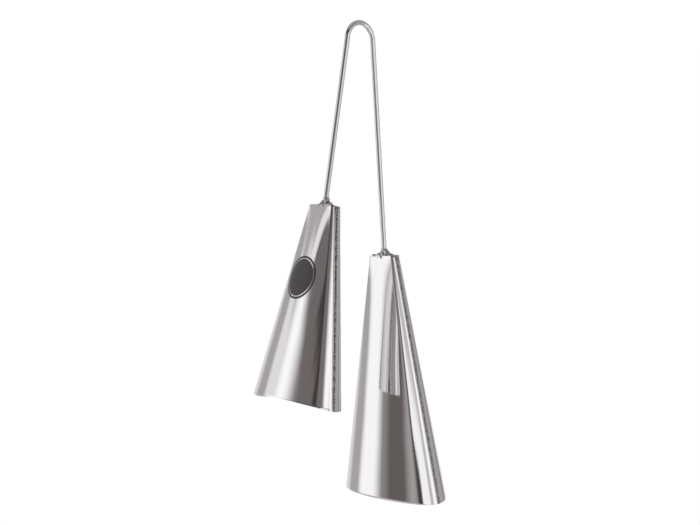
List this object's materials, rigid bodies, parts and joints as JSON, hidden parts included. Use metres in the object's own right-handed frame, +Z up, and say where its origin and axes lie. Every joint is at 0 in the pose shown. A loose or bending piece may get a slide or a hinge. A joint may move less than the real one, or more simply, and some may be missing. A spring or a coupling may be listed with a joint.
{
  "type": "agogo bell",
  "caption": "Agogo: two conical welded sheet-steel bells on the legs of a springy hairpin rod, struck with a stick or squeezed together.",
  "frame": {"origin": "underside of the hairpin's bend, where the instrument hangs", "axes": "+Z up, out of the bend; +X from the high bell's side to the low bell's side; +Y across the hairpin, towards the back seams"},
  "size_m": [0.1763, 0.1052, 0.4028],
  "materials": {
    "polished_sheet": "mirror polished sheet steel",
    "polished_rod": "bright plated rod",
    "weld_metal": "rippled weld metal under the plating"
  },
  "bodies": {
    "handle": {"handle_rod": "polished_rod"},
    "high_bell": {"high_bell_outer_half": "polished_sheet", "high_bell_inner_half": "polished_sheet", "high_bell_front_seam": "weld_metal", "high_bell_back_seam": "weld_metal", "high_bell_crown_plate": "weld_metal", "high_bell_front_crown_weld": "weld_metal", "high_bell_back_crown_weld": "weld_metal", "high_bell_foot_weld": "weld_metal"},
    "low_bell": {"low_bell_outer_half": "polished_sheet", "low_bell_inner_half": "polished_sheet", "low_bell_front_seam": "weld_metal", "low_bell_back_seam": "weld_metal", "low_bell_crown_plate": "weld_metal", "low_bell_front_crown_weld": "weld_metal", "low_bell_back_crown_weld": "weld_metal", "low_bell_foot_weld": "weld_metal"}
  },
  "joints": [
    {"name": "high_bell_flex", "type": "hinge", "parent": "handle", "child": "high_bell", "pos_m": [-0.02272, 0, -0.07394], "axis": [0, -1, 0], "range_deg": [-2, 7.45], "stiffness_Nm_per_rad": 24.8, "deforming": ["handle_rod"]},
    {"name": "low_bell_flex", "type": "hinge", "parent": "handle", "child": "low_bell", "pos_m": [0.02504, 0, -0.09179], "axis": [0, 1, 0], "range_deg": [-2, 7.45], "stiffness_Nm_per_rad": 20.1, "deforming": ["handle_rod"]}
  ]
}
